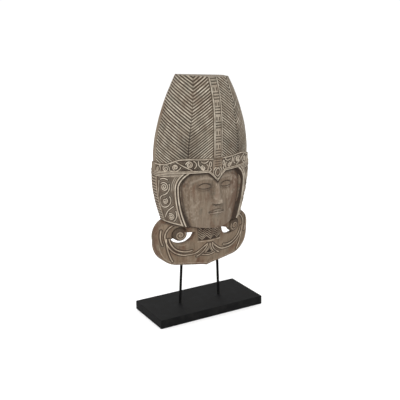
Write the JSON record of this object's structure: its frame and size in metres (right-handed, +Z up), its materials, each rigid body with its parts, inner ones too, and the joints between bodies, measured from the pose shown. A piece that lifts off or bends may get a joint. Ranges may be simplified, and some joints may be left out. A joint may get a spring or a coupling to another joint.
{
  "type": "carved wooden mask on stand",
  "caption": "Tall carved wooden mask with a herringbone headdress, scrolled brow band and pierced collar, held above a black block base by two splayed steel rods.",
  "frame": {"origin": "middle of the felt's resting face, under the middle of the base", "axes": "+Z up; +X to the right of someone facing the mask; -Y towards that person, the way the mask looks"},
  "size_m": [0.36, 0.198, 0.7294],
  "materials": {
    "limed_wood": "carved hardwood, brown stain rubbed with pale lime, matt",
    "black_base": "black stained and lacquered, satin",
    "black_rod": "black painted steel bar, satin",
    "zinc_steel": "zinc plated, dull",
    "black_felt": "pressed wool felt"
  },
  "bodies": {
    "root": {"mask_carving": "limed_wood", "base_block": "black_base", "base_felt": "black_felt", "support_rod_left": "black_rod", "support_rod_right": "black_rod", "rod_washer_left": "zinc_steel", "rod_washer_right": "zinc_steel", "rod_nut_left": "zinc_steel", "rod_nut_right": "zinc_steel"}
  },
  "joints": []
}
